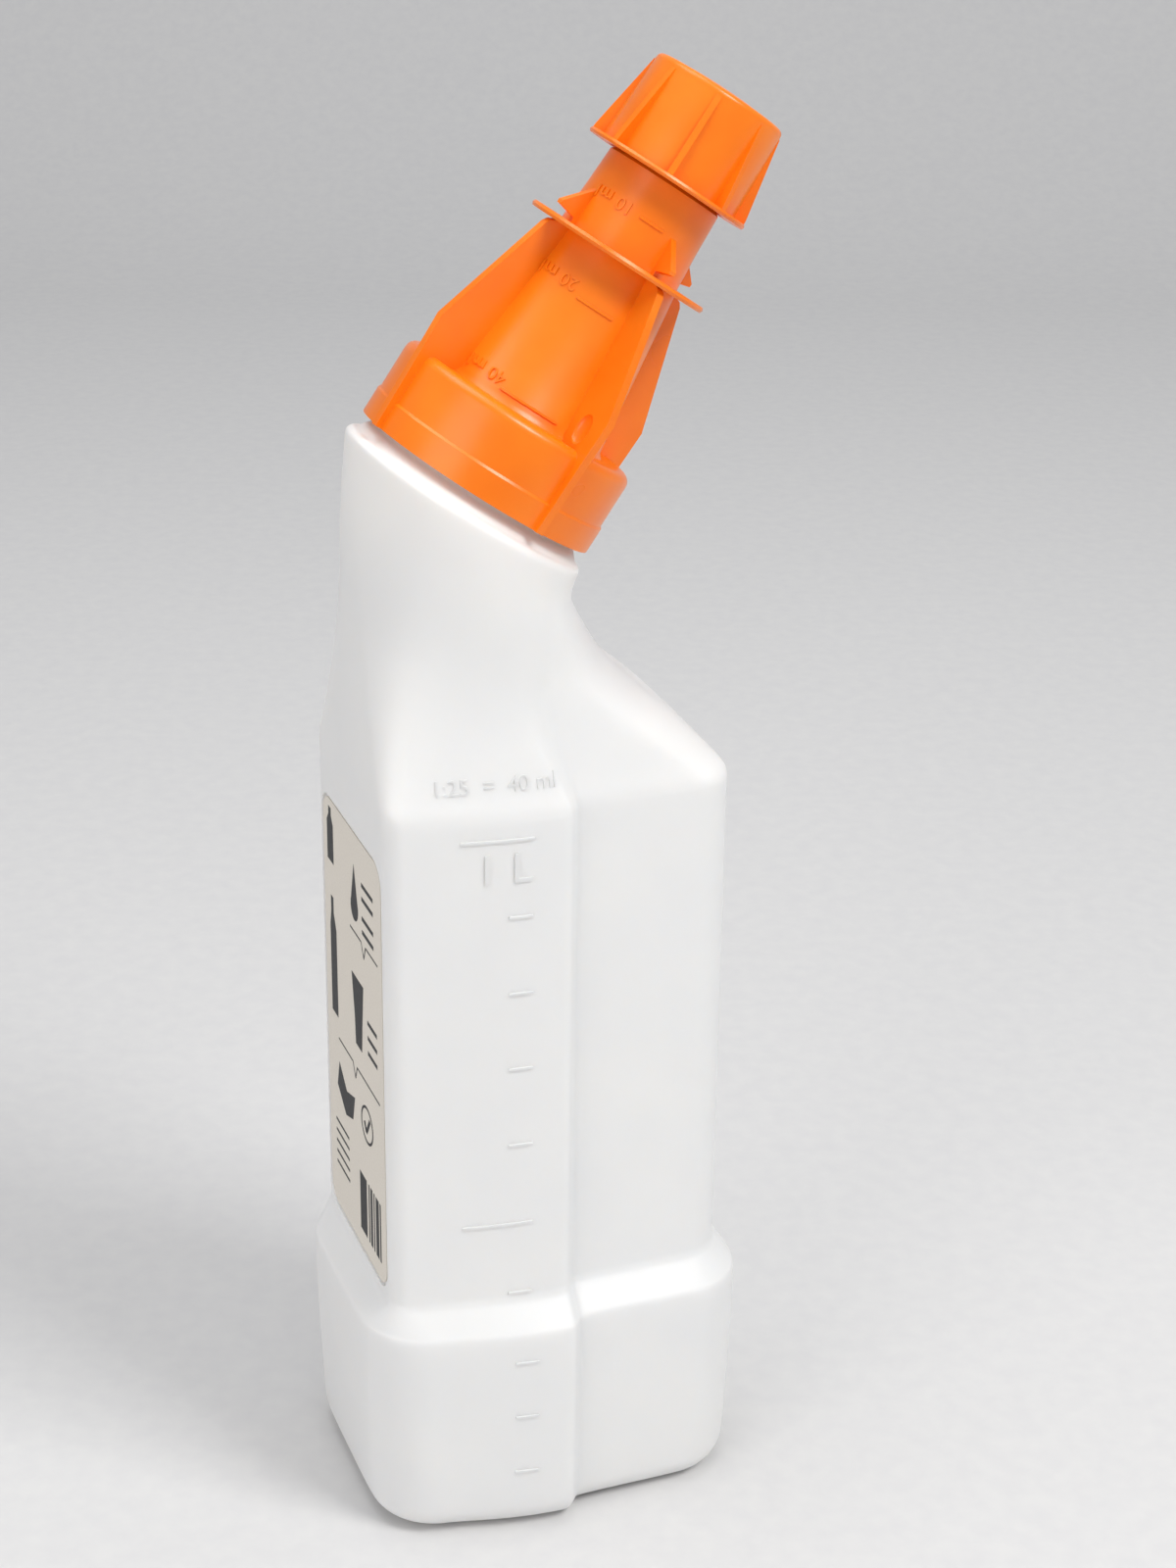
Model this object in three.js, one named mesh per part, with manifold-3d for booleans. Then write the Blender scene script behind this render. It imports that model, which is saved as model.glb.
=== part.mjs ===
// A fuel mixing bottle: a blow-moulded bottle with a leaning neck, a screw-on measuring spout with
// fins, and a small ribbed cap that closes the spout. Millimetres, +Z up, the bottle's base on z = 0,
// the label on the -X side, the graduations on the -Y side and the neck leaning towards +X.
import * as THREE from 'three';
import { mergeVertices } from 'three/addons/utils/BufferGeometryUtils.js';
import Module from 'manifold-3d';

const wasm = await Module();
wasm.setup();

// Bottle body
const wall = 1.4;
const baseHalfWidth = 46.3;
const baseHalfDepth = 34.9;
const baseRounding = 8;
const footHalfWidth = 47.8;
const footHalfDepth = 35.3;
const footTop = 56;
const ledgeHeight = 7.9;
const bodyHalfWidth = 42.2;
const bodyHalfDepth = 29.1;
const shoulderHeight = 187.4;
const footLabelCorner = 17;
const footFarCorner = 17;
const labelSideCorner = 5.5;
const farSideCorner = 11;

// The half of each long side next to the label bulges and ends in an upright step
const bulge = 4.6;
const stepX = 1;
const stepWidth = 4.6;

// Neck and thread; "along" is measured on the neck's axis from the spout's bottom edge
const lean = 34.4;
const skirtBottomX = -11.7;
const skirtBottomZ = 256;
const collarRadius = 30.2;
const collarAlong = -5.6;
const collarEdge = 2;
const collarTop = -1.2;
const collarTopRadius = 26.6;
const collarTopEdge = 0.4;
const neckRadius = 25;
const neckWall = 1.8;
const mouthAlong = 13.6;
const neckThreadLead = 5;
const neckThreadTurns = 1.5;
const neckThreadStart = 3.2;
const neckThreadHeight = 1.2;
const threadThickness = 1.5;
const threadRootDepth = 0.4;
const threadFadeSteps = 6;

// Label in its shallow recess
const labelHalfWidth = 23.1;
const labelBottom = 66;
const labelTop = 176;
const labelCorner = 5;
const labelThickness = 0.3;
const labelGap = 0.3;
const recessDepth = 0.8;
const recessMargin = 0.9;

// Measuring spout
const skirtRadius = 29;
const skirtWall = 2;
const skirtHeight = 19;
const skirtBandHeight = 6;
const skirtBandStep = 0.4;
const skirtRounding = 2.4;
const skirtRoofExtra = 0.4;
const skirtCeiling = skirtHeight - skirtWall - skirtRoofExtra;
const coneFootRadius = 19.7;
const coneTopRadius = 15;
const coneWall = 1.8;
const discAlong = 57.8;
const discRadius = 21.9;
const discThickness = 1.3;
const tubeTopRadius = 13.8;
const tubeTopAlong = 76.4;
const outletRadius = 12.4;
const outletBore = 10.9;
const outletTop = 95.5;
const outletThreadHeight = 0.9;
const outletThreadLead = 3.5;
const outletThreadTurns = 2;
const outletThreadStart = 83;
const finCount = 4;
const finAngle = 10;
const finThickness = 1.9;
const finTopRadius = 20.2;
const finKinkRadius = 31;
const finKinkAlong = 27.5;
const ribProud = 1.3;
const barbRadius = 20.4;
const barbTop = 67.4;
const barbTip = 61;
const dimpleRadius = 24.4;
const dimpleAlong = 23.4;
const dimpleHalfSize = [2.5, 1, 3.6];

// Small cap
const capBottom = 77;
const capTop = 99.1;
const capRimRadius = 19.8;
const capRimThickness = 1.1;
const capTopRadius = 15.9;
const capFootRadius = 16.8;
const capWall = 1.9;
const capDome = 0.7;
const capRounding = 1.3;
const capRibCount = 8;
const capRibAngle = 19.75;
const capRibThickness = 1.4;

// Seals and clearances
const seatGap = 0.35;
const threadGap = 0.5;
const gasketInner = 20.2;
const gasketSideGap = 0.5;
const linerThickness = 1.1;

// Fineness of the round shapes
const cornerSteps = 6;
const sideSteps = 9;
const endSteps = 2;
const turnSteps = 4 * cornerSteps + 2 * sideSteps + 2 * endSteps;

const degrees = Math.PI / 180;

function material(colour, roughness) {
  return new THREE.MeshStandardMaterial({ color: colour, roughness, metalness: 0 });
}

function toSolid(geometry) {
  const bare = geometry.index ? geometry.clone() : geometry;
  bare.deleteAttribute('normal');
  bare.deleteAttribute('uv');
  const merged = mergeVertices(bare, 1e-5);
  return new wasm.Manifold(new wasm.Mesh({
    numProp: 3,
    vertProperties: new Float32Array(merged.attributes.position.array),
    triVerts: new Uint32Array(merged.index.array),
  }));
}

function toGeometry(solid) {
  const mesh = solid.getMesh();
  const geometry = new THREE.BufferGeometry();
  geometry.setAttribute('position', new THREE.BufferAttribute(new Float32Array(mesh.vertProperties), 3));
  geometry.setIndex(Array.from(mesh.triVerts));
  geometry.computeVertexNormals();
  return geometry;
}

// Skins a stack of rings with equal point counts and closes both ends with a fan
function skin(rings) {
  const count = rings[0].length;
  const positions = rings.flat().flatMap((point) => [point.x, point.y, point.z]);
  const index = [];
  for (let ring = 0; ring < rings.length - 1; ring += 1) {
    for (let step = 0; step < count; step += 1) {
      const next = (step + 1) % count;
      const low = ring * count;
      const high = low + count;
      index.push(low + step, low + next, high + next, low + step, high + next, high + step);
    }
  }
  const ends = [rings[0], rings[rings.length - 1]];
  ends.forEach((ring, side) => {
    const centre = ring.reduce((sum, point) => sum.add(point), new THREE.Vector3()).divideScalar(count);
    const hub = positions.length / 3;
    positions.push(centre.x, centre.y, centre.z);
    const first = side === 0 ? 0 : (rings.length - 1) * count;
    for (let step = 0; step < count; step += 1) {
      const next = (step + 1) % count;
      if (side === 0) index.push(hub, first + next, first + step);
      else index.push(hub, first + step, first + next);
    }
  });
  const geometry = new THREE.BufferGeometry();
  geometry.setAttribute('position', new THREE.Float32BufferAttribute(positions, 3));
  geometry.setIndex(index);
  return geometry;
}

// How far the long side stands proud at x, from nothing at the label-side corner to the full bulge
function proudAt(x, cornerX) {
  const stepStart = stepX - stepWidth / 2;
  if (x <= cornerX) return 0;
  if (x < stepStart) return bulge * Math.sin((Math.PI / 2) * ((x - cornerX) / (stepStart - cornerX)));
  if (x > stepStart + stepWidth) return 0;
  return (bulge * (1 + Math.cos((Math.PI * (x - stepStart)) / stepWidth))) / 2;
}

// The x places of the points along a long side, closer together on the step
function sidePlaces(leftX, rightX) {
  const stepStart = stepX - stepWidth / 2;
  const places = [];
  const bulgeSteps = 4;
  const stepSteps = sideSteps - bulgeSteps - 1;
  for (let i = 0; i < bulgeSteps; i += 1) places.push(leftX + ((stepStart - leftX) * i) / bulgeSteps);
  for (let i = 0; i <= stepSteps; i += 1) places.push(stepStart + (stepWidth * i) / stepSteps);
  places.push(rightX);
  return places;
}

// One section of the body: a rounded rectangle with the bulge, turning into an ellipse as round goes to 1
function sectionOutline({ halfWidth, halfDepth, leftCorner, rightCorner, round = 0, bulgeShare = 0 }) {
  const leftX = -halfWidth + leftCorner;
  const rightX = halfWidth - rightCorner;
  const points = [];
  const corner = (centreX, centreY, radius, from) => {
    for (let i = 0; i < cornerSteps; i += 1) {
      const angle = (from + (90 * i) / cornerSteps) * degrees;
      points.push([centreX + radius * Math.cos(angle), centreY + radius * Math.sin(angle)]);
    }
  };
  const end = (x, fromY, toY) => {
    for (let i = 0; i < endSteps; i += 1) points.push([x, fromY + ((toY - fromY) * i) / endSteps]);
  };
  const places = sidePlaces(leftX, rightX);
  const side = (sign) => {
    const ordered = sign < 0 ? places : [...places].reverse();
    ordered.slice(0, sideSteps).forEach((x) => {
      points.push([x, sign * (halfDepth + bulgeShare * proudAt(x, leftX))]);
    });
  };
  corner(rightX, halfDepth - rightCorner, rightCorner, 0);
  side(1);
  corner(leftX, halfDepth - leftCorner, leftCorner, 90);
  end(-halfWidth, halfDepth - leftCorner, -(halfDepth - leftCorner));
  corner(leftX, -(halfDepth - leftCorner), leftCorner, 180);
  side(-1);
  corner(rightX, -(halfDepth - rightCorner), rightCorner, 270);
  end(halfWidth, -(halfDepth - rightCorner), halfDepth - rightCorner);
  const firstAngle = ((endSteps / 2) * 360) / turnSteps;
  return points.map(([x, y], i) => {
    const angle = (firstAngle + (360 * i) / turnSteps) * degrees;
    return [
      x + (halfWidth * Math.cos(angle) - x) * round,
      y + (halfDepth * Math.sin(angle) - y) * round,
    ];
  });
}

// Places an outline on a plane leaning towards +X
function placeRing(outline, centreX, centreZ, tilt) {
  return outline.map(([x, y]) => new THREE.Vector3(
    centreX + x * Math.cos(tilt),
    y,
    centreZ - x * Math.sin(tilt),
  ));
}

function level(z, halfWidth, halfDepth, leftCorner, rightCorner, inset = 0) {
  const outline = sectionOutline({
    halfWidth: halfWidth - inset,
    halfDepth: halfDepth - inset,
    leftCorner: Math.max(leftCorner - inset, 1),
    rightCorner: Math.max(rightCorner - inset, 1),
    bulgeShare: 1,
  });
  return placeRing(outline, 0, z, 0);
}

// The foot: a rounded base edge, walls that lean out a little, and the ledge back to the body's width
function footRings(inset) {
  const rings = [];
  const roundingSteps = 5;
  const floor = inset;
  for (let i = 0; i <= roundingSteps; i += 1) {
    const angle = (Math.PI / 2) * (i / roundingSteps);
    const pulledIn = baseRounding * (1 - Math.sin(angle));
    const z = floor + (baseRounding - inset / 2) * (1 - Math.cos(angle));
    rings.push(level(z, baseHalfWidth, baseHalfDepth, footLabelCorner, footFarCorner, inset + pulledIn));
  }
  const leanSteps = 3;
  for (let i = 1; i <= leanSteps; i += 1) {
    const share = i / leanSteps;
    const swell = 1 - (1 - share) ** 1.6;
    const z = baseRounding + (footTop - baseRounding) * share;
    const halfWidth = baseHalfWidth + (footHalfWidth - baseHalfWidth) * swell;
    const halfDepth = baseHalfDepth + (footHalfDepth - baseHalfDepth) * swell;
    rings.push(level(z, halfWidth, halfDepth, footLabelCorner, footFarCorner, inset));
  }
  return rings;
}

function bodyRings(inset) {
  const edge = 1;
  const ledgeTop = footTop + ledgeHeight;
  const body = (z, extra) => level(
    z,
    bodyHalfWidth + extra,
    bodyHalfDepth + extra,
    labelSideCorner + extra,
    farSideCorner + extra,
    inset,
  );
  const lip = edge / 2;
  return [
    level(footTop + edge, footHalfWidth - lip, footHalfDepth - lip, footLabelCorner, footFarCorner, inset),
    body(ledgeTop - edge, lip),
    body(ledgeTop + edge, 0),
    body(shoulderHeight, 0),
  ];
}

// Neck axis: a point at a distance along it
function onNeckAxis(along) {
  const tilt = lean * degrees;
  return [skirtBottomX + along * Math.sin(tilt), skirtBottomZ + along * Math.cos(tilt)];
}

function neckRing(along, radius) {
  const [x, z] = onNeckAxis(along);
  const outline = sectionOutline({
    halfWidth: radius,
    halfDepth: radius,
    leftCorner: radius / 2,
    rightCorner: radius / 2,
    round: 1,
  });
  return placeRing(outline, x, z, lean * degrees);
}

// Shoulder: sections that fan over from level to the neck's plane, each given by its two ends in the
// XZ plane. The label side stays upright and the far side slopes in.
function shoulderRings(inset) {
  const [collarX, collarZ] = onNeckAxis(collarAlong);
  const tilt = lean * degrees;
  const collarLeft = [collarX - collarRadius * Math.cos(tilt), collarZ + collarRadius * Math.sin(tilt)];
  const collarRight = [collarX + collarRadius * Math.cos(tilt), collarZ - collarRadius * Math.sin(tilt)];
  const w = bodyHalfWidth;
  const d = bodyHalfDepth;
  const h = shoulderHeight;
  const [lx, lz] = collarLeft;
  const [rx, rz] = collarRight;
  const stations = [
    { left: [-w, h + 3], right: [w - 0.8, h + 2.2], depth: d - 0.3, round: 0, share: 0.96 },
    { left: [-w, h + 7], right: [w - 4.6, h + 6.4], depth: d - 1, round: 0.06, share: 0.86 },
    { left: [-w + 0.2, h + 13], right: [w - 11.4, h + 13.4], depth: d - 1.8, round: 0.16, share: 0.7 },
    { left: [-w + 0.4, h + 21], right: [w - 18.6, h + 20], depth: d - 2.3, round: 0.32, share: 0.48 },
    { left: [-w + 0.7, h + 31], right: [w - 24.6, h + 26], depth: d - 2.4, round: 0.52, share: 0.26 },
    { left: [-w + 0.9, h + 43], right: [rx + 4.4, rz - 16.6], depth: d - 1.9, round: 0.74, share: 0.1 },
    { left: [lx - 1.5, lz - 20], right: [rx + 0.6, rz - 9.6], depth: d - 0.8, round: 0.92, share: 0.02 },
    { left: [lx - 0.9, lz - 8], right: [rx - 1.3, rz - 4.8], depth: d + 0.3, round: 1, share: 0 },
  ];
  return stations.map(({ left, right, depth, round, share }) => {
    const across = [right[0] - left[0], right[1] - left[1]];
    const outline = sectionOutline({
      halfWidth: Math.hypot(...across) / 2 - inset,
      halfDepth: depth - inset,
      leftCorner: labelSideCorner + 4 * round,
      rightCorner: farSideCorner + 4 * round,
      round,
      bulgeShare: share,
    });
    const sectionTilt = Math.atan2(-across[1], across[0]);
    return placeRing(outline, (left[0] + right[0]) / 2, (left[1] + right[1]) / 2, sectionTilt);
  });
}

function outerBottle() {
  const collarSteps = 4;
  const rounding = [];
  for (let i = 0; i <= collarSteps; i += 1) {
    const angle = (Math.PI / 2) * (i / collarSteps);
    const along = collarAlong + collarEdge * Math.sin(angle);
    rounding.push(neckRing(along, collarRadius - collarEdge * (1 - Math.cos(angle))));
  }
  return skin([
    ...footRings(0),
    ...bodyRings(0),
    ...shoulderRings(0),
    ...rounding,
    neckRing(collarTop, collarTopRadius),
    neckRing(collarTop + collarTopEdge, neckRadius),
    neckRing(mouthAlong, neckRadius),
  ]);
}

function innerBottle() {
  const bore = neckRadius - neckWall;
  return skin([
    ...footRings(wall),
    ...bodyRings(wall),
    ...shoulderRings(wall).slice(0, -1),
    neckRing(collarAlong - 3, bore + 1),
    neckRing(collarAlong, bore),
    neckRing(mouthAlong + 5, bore),
  ]);
}

// A slab in the XY plane with rounded corners, from z = 0 up to its height
function roundedSlab(halfX, halfY, radius, height) {
  const shape = new THREE.Shape();
  shape.moveTo(-halfX + radius, -halfY);
  shape.lineTo(halfX - radius, -halfY);
  shape.absarc(halfX - radius, -halfY + radius, radius, -Math.PI / 2, 0);
  shape.absarc(halfX - radius, halfY - radius, radius, 0, Math.PI / 2);
  shape.absarc(-halfX + radius, halfY - radius, radius, Math.PI / 2, Math.PI);
  shape.absarc(-halfX + radius, -halfY + radius, radius, Math.PI, 1.5 * Math.PI);
  return new THREE.ExtrudeGeometry(shape, { depth: height, bevelEnabled: false, curveSegments: 6 });
}

// The label's slab turned upright, its face looking along -X
function uprightSlab(margin, thickness, innerX) {
  const halfHeight = (labelTop - labelBottom) / 2 + margin;
  const slab = roundedSlab(labelHalfWidth + margin, halfHeight, labelCorner + margin, thickness);
  slab.rotateX(Math.PI / 2);
  slab.rotateZ(-Math.PI / 2);
  slab.translate(innerX, 0, (labelTop + labelBottom) / 2);
  return slab;
}

// A raised screw thread on a round wall: height is negative for a thread that points inwards
function helix(radius, height, start, turns, lead, thickness) {
  const steps = Math.round(turns * turnSteps);
  const rings = [];
  const root = radius - Math.sign(height) * threadRootDepth;
  for (let i = 0; i <= steps; i += 1) {
    const angle = (2 * Math.PI * i) / turnSteps;
    const fade = Math.min(1, (Math.min(i, steps - i) + 1) / threadFadeSteps);
    const crest = radius + height * fade;
    const middle = start + (lead * i) / turnSteps;
    const half = thickness / 2;
    const profile = [[root, -half], [crest, -half * 0.5], [crest, half * 0.5], [root, half]];
    const ordered = height > 0 ? profile : profile.reverse();
    rings.push(ordered.map(([r, up]) => new THREE.Vector3(
      r * Math.cos(angle),
      r * Math.sin(angle),
      middle + up,
    )));
  }
  return skin(rings.reverse());
}

// A turned shape from a profile of [radius, height] pairs that closes on itself or ends on the axis
function turned(profile) {
  const points = profile.map(([r, z]) => new THREE.Vector2(r, z));
  const geometry = new THREE.LatheGeometry(points, turnSteps);
  geometry.rotateX(Math.PI / 2);
  return geometry;
}

// A flat plate standing on a radius, drawn as [radius, height] pairs
function radialPlate(outline, thickness, angle) {
  const shape = new THREE.Shape(outline.map(([r, z]) => new THREE.Vector2(r, z)));
  const plate = new THREE.ExtrudeGeometry(shape, { depth: thickness, bevelEnabled: false });
  plate.translate(0, 0, -thickness / 2);
  plate.rotateX(Math.PI / 2);
  plate.rotateZ(angle * degrees);
  return plate;
}

function onNeck(geometry) {
  const [x, z] = onNeckAxis(0);
  geometry.rotateY(lean * degrees);
  geometry.translate(x, 0, z);
  return geometry;
}

function makeBottle() {
  const thread = onNeck(helix(
    neckRadius,
    neckThreadHeight,
    neckThreadStart,
    neckThreadTurns,
    neckThreadLead,
    threadThickness,
  ));
  const recessFloor = -bodyHalfWidth + recessDepth;
  const recess = uprightSlab(recessMargin, recessDepth * 2, recessFloor);
  return toSolid(outerBottle())
    .add(toSolid(thread))
    .subtract(toSolid(innerBottle()))
    .subtract(toSolid(recess));
}

function makeLabel() {
  return uprightSlab(0, labelThickness, -bodyHalfWidth + recessDepth - labelGap);
}

function coneRadius(along) {
  const share = (along - skirtHeight) / (discAlong - skirtHeight);
  return coneFootRadius + (coneTopRadius - coneFootRadius) * share;
}

function spoutShell() {
  const bandRadius = skirtRadius - skirtBandStep;
  const profile = [
    [skirtRadius - skirtWall, 0],
    [skirtRadius, 0],
    [skirtRadius, skirtBandHeight],
    [bandRadius, skirtBandHeight + 0.6],
  ];
  const roundingSteps = 5;
  for (let i = 0; i <= roundingSteps; i += 1) {
    const angle = (Math.PI / 2) * (i / roundingSteps);
    profile.push([
      bandRadius - skirtRounding * (1 - Math.cos(angle)),
      skirtHeight - skirtRounding * (1 - Math.sin(angle)),
    ]);
  }
  const discHalf = discThickness / 2;
  profile.push(
    [coneFootRadius + 2.6, skirtHeight - 0.5],
    [coneFootRadius + 1, skirtHeight - 0.2],
    [coneFootRadius + 0.1, skirtHeight + 1],
    [coneRadius(discAlong - discHalf), discAlong - discHalf],
    [discRadius - 0.3, discAlong - discHalf],
    [discRadius, discAlong],
    [discRadius - 0.3, discAlong + discHalf],
    [coneTopRadius - 0.2, discAlong + discHalf],
    [tubeTopRadius + 0.4, discAlong + (tubeTopAlong - discAlong) * 0.5],
    [tubeTopRadius, tubeTopAlong],
    [outletRadius, tubeTopAlong + 1.2],
    [outletRadius, outletTop],
    [outletBore, outletTop],
    [outletBore, tubeTopAlong],
    [tubeTopRadius - coneWall, tubeTopAlong - 3],
    [coneTopRadius - coneWall, discAlong],
    [coneFootRadius - coneWall, skirtCeiling + 2],
    [coneFootRadius - coneWall, skirtCeiling],
    [skirtRadius - skirtWall, skirtCeiling],
    [skirtRadius - skirtWall, 0],
  );
  return toSolid(turned(profile));
}

// A fin runs from under the disc down the cone and on as a rib down the skirt
function finOutline() {
  const top = discAlong - discThickness / 2;
  const ribRadius = skirtRadius + ribProud;
  return [
    [skirtRadius - 0.8, 0],
    [ribRadius, 0],
    [ribRadius + 0.4, skirtHeight],
    [finKinkRadius, finKinkAlong],
    [finTopRadius + 0.9, top - 1.6],
    [finTopRadius, top - 0.5],
    [finTopRadius - 1.6, top + 0.1],
    [coneRadius(top) - 0.9, top + 0.1],
    [coneFootRadius - 0.9, skirtHeight - 1],
    [skirtRadius - 0.8, skirtHeight - 1.6],
  ];
}

// A barb above the disc, in line with each fin
function barbOutline() {
  return [
    [tubeTopRadius - 0.5, discAlong],
    [coneTopRadius + 0.5, discAlong],
    [coneTopRadius + 0.6, barbTip - 1.4],
    [barbRadius, barbTip - 0.4],
    [barbRadius, barbTip + 0.4],
    [tubeTopRadius + 0.2, barbTop],
    [tubeTopRadius - 0.5, barbTop],
  ];
}

function makeSpout() {
  let solid = spoutShell();
  for (let i = 0; i < finCount; i += 1) {
    const angle = finAngle + (360 / finCount) * i;
    solid = solid.add(toSolid(radialPlate(finOutline(), finThickness, angle)));
    solid = solid.add(toSolid(radialPlate(barbOutline(), finThickness * 0.8, angle)));
  }
  const thread = helix(
    outletRadius,
    outletThreadHeight,
    outletThreadStart,
    outletThreadTurns,
    outletThreadLead,
    threadThickness * 0.8,
  );
  solid = solid.add(toSolid(thread));
  const innerThread = helix(
    skirtRadius - skirtWall,
    -(skirtRadius - skirtWall - neckRadius - threadGap),
    neckThreadStart - threadThickness - seatGap,
    1,
    neckThreadLead,
    threadThickness,
  );
  solid = solid.add(toSolid(innerThread));
  const dimple = new THREE.SphereGeometry(1, 16, 10);
  dimple.scale(...dimpleHalfSize);
  dimple.translate(dimpleRadius, -finThickness / 2, dimpleAlong);
  dimple.rotateZ((finAngle + 270) * degrees);
  return solid.subtract(toSolid(dimple));
}

function makeCap() {
  const ceiling = outletTop + linerThickness + 2 * seatGap;
  const inner = outletRadius + outletThreadHeight + threadGap + 0.2;
  const roundingSteps = 4;
  const profile = [[0, capTop + capDome], [capTopRadius * 0.55, capTop + capDome * 0.7]];
  for (let i = roundingSteps; i >= 0; i -= 1) {
    const angle = (Math.PI / 2) * (i / roundingSteps);
    profile.push([
      capTopRadius - capRounding * (1 - Math.cos(angle)),
      capTop - capRounding * (1 - Math.sin(angle)),
    ]);
  }
  profile.push(
    [capFootRadius, capBottom + capRimThickness],
    [capRimRadius - 0.3, capBottom + capRimThickness],
    [capRimRadius, capBottom + capRimThickness * 0.5],
    [capRimRadius - 0.3, capBottom],
    [Math.max(inner, tubeTopRadius) + 0.8, capBottom],
    [inner, capBottom + 2.5],
    [inner, ceiling],
    [0, ceiling],
  );
  let solid = toSolid(turned(profile.reverse()));
  const ribOutline = [
    [capFootRadius - 0.8, capBottom + 0.2],
    [capRimRadius - 0.4, capBottom + 0.2],
    [capRimRadius - 0.5, capBottom + 2],
    [capTopRadius + 0.15, capTop - capRounding - 0.5],
    [capTopRadius - 0.8, capTop - capRounding - 0.5],
  ];
  for (let i = 0; i < capRibCount; i += 1) {
    const angle = capRibAngle + (360 / capRibCount) * i;
    solid = solid.add(toSolid(radialPlate(ribOutline, capRibThickness, angle)));
  }
  const thread = helix(
    inner,
    -(inner - outletRadius - threadGap),
    outletThreadStart - threadThickness * 0.8 - seatGap,
    1,
    outletThreadLead,
    threadThickness * 0.8,
  );
  return solid.add(toSolid(thread));
}

function makeRing(innerRadius, outerRadius, bottom, top) {
  return turned([
    [innerRadius, bottom],
    [outerRadius, bottom],
    [outerRadius, top],
    [innerRadius, top],
    [innerRadius, bottom],
  ]);
}

function makeGasket() {
  const outer = skirtRadius - skirtWall - gasketSideGap;
  return makeRing(gasketInner, outer, mouthAlong + seatGap, skirtCeiling - seatGap);
}

function makeLiner() {
  const radius = outletRadius + outletThreadHeight;
  const bottom = outletTop + seatGap;
  const top = bottom + linerThickness;
  return turned([[0, bottom], [radius, bottom], [radius, top], [0, top]]);
}

const part = new THREE.Group();

function addPiece(name, geometry, pieceMaterial) {
  const mesh = new THREE.Mesh(geometry, pieceMaterial);
  mesh.name = name;
  part.add(mesh);
}

const milky = material(0xf1efee, 0.42);
const paper = material(0xe9e6e2, 0.7);
const orange = material(0xff7a14, 0.38);
const foam = material(0xdedad2, 0.8);

addPiece('bottle', toGeometry(makeBottle()), milky);
addPiece('label', makeLabel(), paper);
addPiece('measuring_spout', onNeck(toGeometry(makeSpout())), orange);
addPiece('neck_gasket', onNeck(makeGasket()), foam);
addPiece('spout_cap', onNeck(toGeometry(makeCap())), orange);
addPiece('cap_liner', onNeck(makeLiner()), foam);

export default part;
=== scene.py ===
"""Looks of the fuel mixing bottle: milky blow-moulded bottle, orange measuring spout and cap, paper label."""

from math import atan2, cos, hypot, pi, radians, sin

import bmesh
import bpy
from mathutils import Matrix, Vector
from mathutils.bvhtree import BVHTree


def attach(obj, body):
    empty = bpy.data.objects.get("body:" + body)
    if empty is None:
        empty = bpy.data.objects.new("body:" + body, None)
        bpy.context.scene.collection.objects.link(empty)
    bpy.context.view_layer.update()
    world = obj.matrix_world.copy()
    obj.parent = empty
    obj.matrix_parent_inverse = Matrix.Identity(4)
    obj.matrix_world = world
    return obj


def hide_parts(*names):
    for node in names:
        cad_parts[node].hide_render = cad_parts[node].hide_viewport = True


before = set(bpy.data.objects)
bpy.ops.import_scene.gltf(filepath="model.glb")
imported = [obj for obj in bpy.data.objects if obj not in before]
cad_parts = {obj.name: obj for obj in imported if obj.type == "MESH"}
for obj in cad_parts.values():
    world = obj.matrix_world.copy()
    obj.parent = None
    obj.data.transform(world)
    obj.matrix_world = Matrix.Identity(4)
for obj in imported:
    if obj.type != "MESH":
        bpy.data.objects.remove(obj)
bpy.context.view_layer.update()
MM = 0.001
scene = bpy.context.scene

# Sizes in mm, as in the CAD
WALL = 1.4
BASE_HALF_WIDTH, BASE_HALF_DEPTH, BASE_ROUNDING = 46.3, 34.9, 8.0
FOOT_HALF_WIDTH, FOOT_HALF_DEPTH, FOOT_TOP, LEDGE = 47.8, 35.3, 56.0, 7.9
BODY_HALF_WIDTH, BODY_HALF_DEPTH, SHOULDER_Z = 42.2, 29.1, 187.4
FOOT_CORNER, LABEL_SIDE_CORNER, FAR_SIDE_CORNER = 17.0, 5.5, 11.0
BULGE, STEP_X, STEP_WIDTH = 4.6, 1.0, 4.6
LEAN = radians(34.4)
NECK_FOOT = Vector((-11.7, 0.0, 256.0))
COLLAR_RADIUS, COLLAR_ALONG, COLLAR_EDGE = 30.2, -5.6, 2.0
COLLAR_TOP, COLLAR_TOP_RADIUS = -1.2, 26.6
NECK_RADIUS, NECK_WALL, MOUTH_ALONG = 25.0, 1.8, 13.6
LABEL_HALF_WIDTH, LABEL_BOTTOM, LABEL_TOP, LABEL_CORNER = 23.1, 66.0, 176.0, 5.0
LABEL_FACE_X, LABEL_THICKNESS, RECESS_FLOOR_X, RECESS_MARGIN = -42.0, 0.3, -41.4, 0.9
THREAD_ROOT, THREAD_HEIGHT, THREAD_THICKNESS = 0.4, 1.2, 1.5
THREAD_START, THREAD_TURNS, THREAD_LEAD = 3.2, 1.5, 5.0
EDGE_ROUNDING = 0.3

# Steps round a section and along the bottle
CORNER_STEPS, SIDE_STEPS, END_STEPS, STEP_EDGE_STEPS = 6, 9, 2, 4
TURN_STEPS = 4 * CORNER_STEPS + 2 * SIDE_STEPS + 2 * END_STEPS
ROUNDING_STEPS, FOOT_STEPS, BODY_STEPS, COLLAR_STEPS = 6, 5, 6, 5
THREAD_STEPS, THREAD_FADE_STEPS = 60, 6
FOOT_SWELL = 1.6
LEDGE_CREASE = 0.12

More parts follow.
